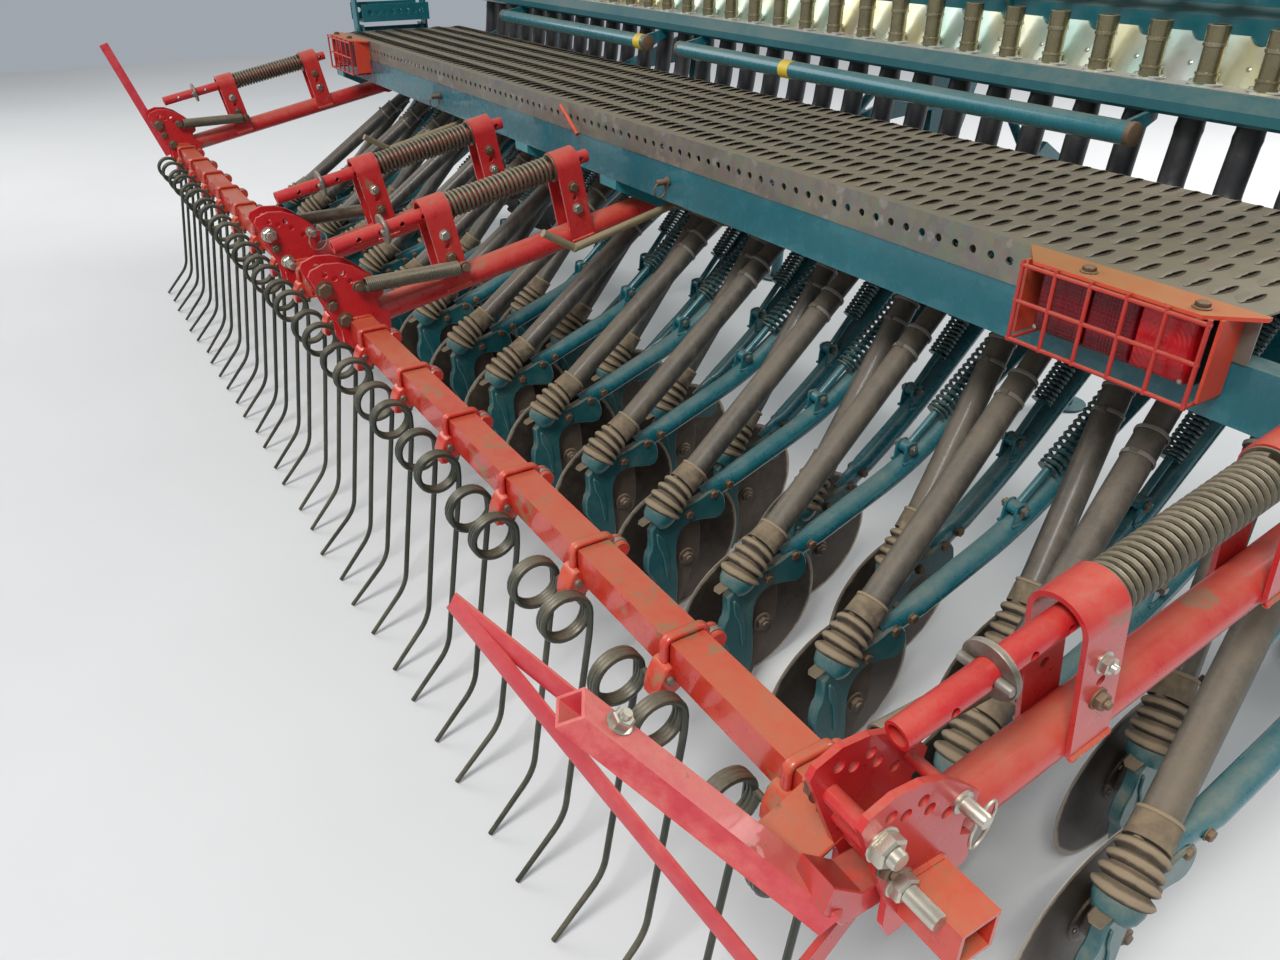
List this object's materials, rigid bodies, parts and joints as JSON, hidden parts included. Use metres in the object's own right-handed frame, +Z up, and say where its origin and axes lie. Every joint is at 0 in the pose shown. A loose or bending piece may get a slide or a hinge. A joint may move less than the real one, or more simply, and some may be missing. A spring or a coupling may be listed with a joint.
{
  "type": "seed drill",
  "caption": "Tractor-mounted seed drill with a hopper, metering outlets, seed tubes to two ranks of disc coulters, a tread platform and a hinged following tine harrow.",
  "frame": {"origin": "ground level under the middle of the drill's outline box", "axes": "+X across the drill to the right seen from behind, +Y the way it travels, +Z up"},
  "size_m": [3.987, 2.5145, 1.854],
  "materials": {
    "teal_paint": "glossy teal paint with dust and chips",
    "galvanised": "dull galvanised sheet with brown dust",
    "zinc_gold": "yellow passivated zinc",
    "rubber_black": "matt black rubber",
    "grey_plastic": "grey-brown weathered plastic",
    "bellows_rubber": "rubber under tan dust",
    "disc_steel": "worn brown steel",
    "red_paint": "faded orange-red paint with rust",
    "lamp_red": "ribbed red lens",
    "spring_steel": "dark olive lacquered spring steel",
    "tyre": "dusty tyre rubber",
    "rim_paint": "dusty silver-grey paint"
  },
  "bodies": {
    "frame": {"main_frame": "teal_paint", "hitch_headstock": "teal_paint", "hopper": "teal_paint", "hopper_legs": "teal_paint", "metering_tray": "galvanised", "outlet_chutes": "zinc_gold", "tray_rail": "teal_paint", "tray_tubes": "teal_paint", "drive_box": "teal_paint", "seed_hoses": "rubber_black", "tubes_upper": "grey_plastic", "tubes_lower": "grey_plastic", "bellows": "bellows_rubber", "pivot_bar": "teal_paint", "pressure_bar": "teal_paint", "coulter_arms": "teal_paint", "coulter_boots": "teal_paint", "hub_plates": "disc_steel", "coulter_rods": "teal_paint", "coulter_springs": "teal_paint", "platform_deck": "galvanised", "platform_beam": "teal_paint", "harrow_hangers": "teal_paint", "pressure_cranks": "teal_paint", "lamp_brackets": "red_paint", "lamps": "lamp_red", "lamp_guards": "red_paint", "wheel_arms": "teal_paint", "ladder_base": "teal_paint"},
    "hopper_lid": {"hopper_lid": "teal_paint"},
    "metering_shaft": {"metering_shaft": "rubber_black"},
    "discs_front": {"discs_front": "disc_steel"},
    "discs_rear": {"discs_rear": "disc_steel"},
    "wheel_left": {"tyre_left": "tyre", "rim_left": "rim_paint"},
    "wheel_right": {"tyre_right": "tyre", "rim_right": "rim_paint"},
    "stand_left": {"stand_left": "teal_paint"},
    "stand_right": {"stand_right": "teal_paint"},
    "ladder": {"ladder": "teal_paint"},
    "harrow_left": {"harrow_beam_left": "red_paint", "harrow_arms_left": "red_paint", "harrow_rods_left": "red_paint", "harrow_springs_left": "spring_steel", "quadrants_left": "red_paint", "tine_clamps_left": "red_paint", "tines_left": "spring_steel", "end_frame_left": "red_paint"},
    "harrow_right": {"harrow_beam_right": "red_paint", "harrow_arms_right": "red_paint", "harrow_rods_right": "red_paint", "harrow_springs_right": "spring_steel", "quadrants_right": "red_paint", "tine_clamps_right": "red_paint", "tines_right": "spring_steel", "end_frame_right": "red_paint"}
  },
  "joints": [
    {"name": "lid_hinge", "type": "hinge", "parent": "frame", "child": "hopper_lid", "pos_m": [0, 0.909, 1.844], "axis": [-1, 0, 0], "range_deg": [0, 95]},
    {"name": "metering_turn", "type": "hinge", "parent": "frame", "child": "metering_shaft", "pos_m": [0, 0.26, 1.205], "axis": [1, 0, 0], "continuous": true},
    {"name": "discs_front_spin", "type": "hinge", "parent": "frame", "child": "discs_front", "pos_m": [0, -0.31, 0.16], "axis": [1, 0, 0], "continuous": true},
    {"name": "discs_rear_spin", "type": "hinge", "parent": "frame", "child": "discs_rear", "pos_m": [0, -0.56, 0.16], "axis": [1, 0, 0], "continuous": true},
    {"name": "wheel_left_spin", "type": "hinge", "parent": "frame", "child": "wheel_left", "pos_m": [-1.75, 0.6, 0.4], "axis": [1, 0, 0], "continuous": true},
    {"name": "wheel_right_spin", "type": "hinge", "parent": "frame", "child": "wheel_right", "pos_m": [1.75, 0.6, 0.4], "axis": [1, 0, 0], "continuous": true},
    {"name": "stand_left_swing", "type": "hinge", "parent": "frame", "child": "stand_left", "pos_m": [-0.7, 1.04, 0.61], "axis": [1, 0, 0], "range_deg": [0, 95]},
    {"name": "stand_right_swing", "type": "hinge", "parent": "frame", "child": "stand_right", "pos_m": [0.7, 1.04, 0.61], "axis": [1, 0, 0], "range_deg": [0, 95]},
    {"name": "ladder_fold", "type": "hinge", "parent": "frame", "child": "ladder", "pos_m": [-1.79, 0, 0.905], "axis": [0, -1, 0], "range_deg": [0, 135]},
    {"name": "harrow_left_lift", "type": "hinge", "parent": "frame", "child": "harrow_left", "pos_m": [0, -0.15, 0.69], "axis": [-1, 0, 0], "range_deg": [0, 12]},
    {"name": "harrow_right_lift", "type": "hinge", "parent": "frame", "child": "harrow_right", "pos_m": [0, -0.15, 0.69], "axis": [-1, 0, 0], "range_deg": [0, 12]}
  ]
}
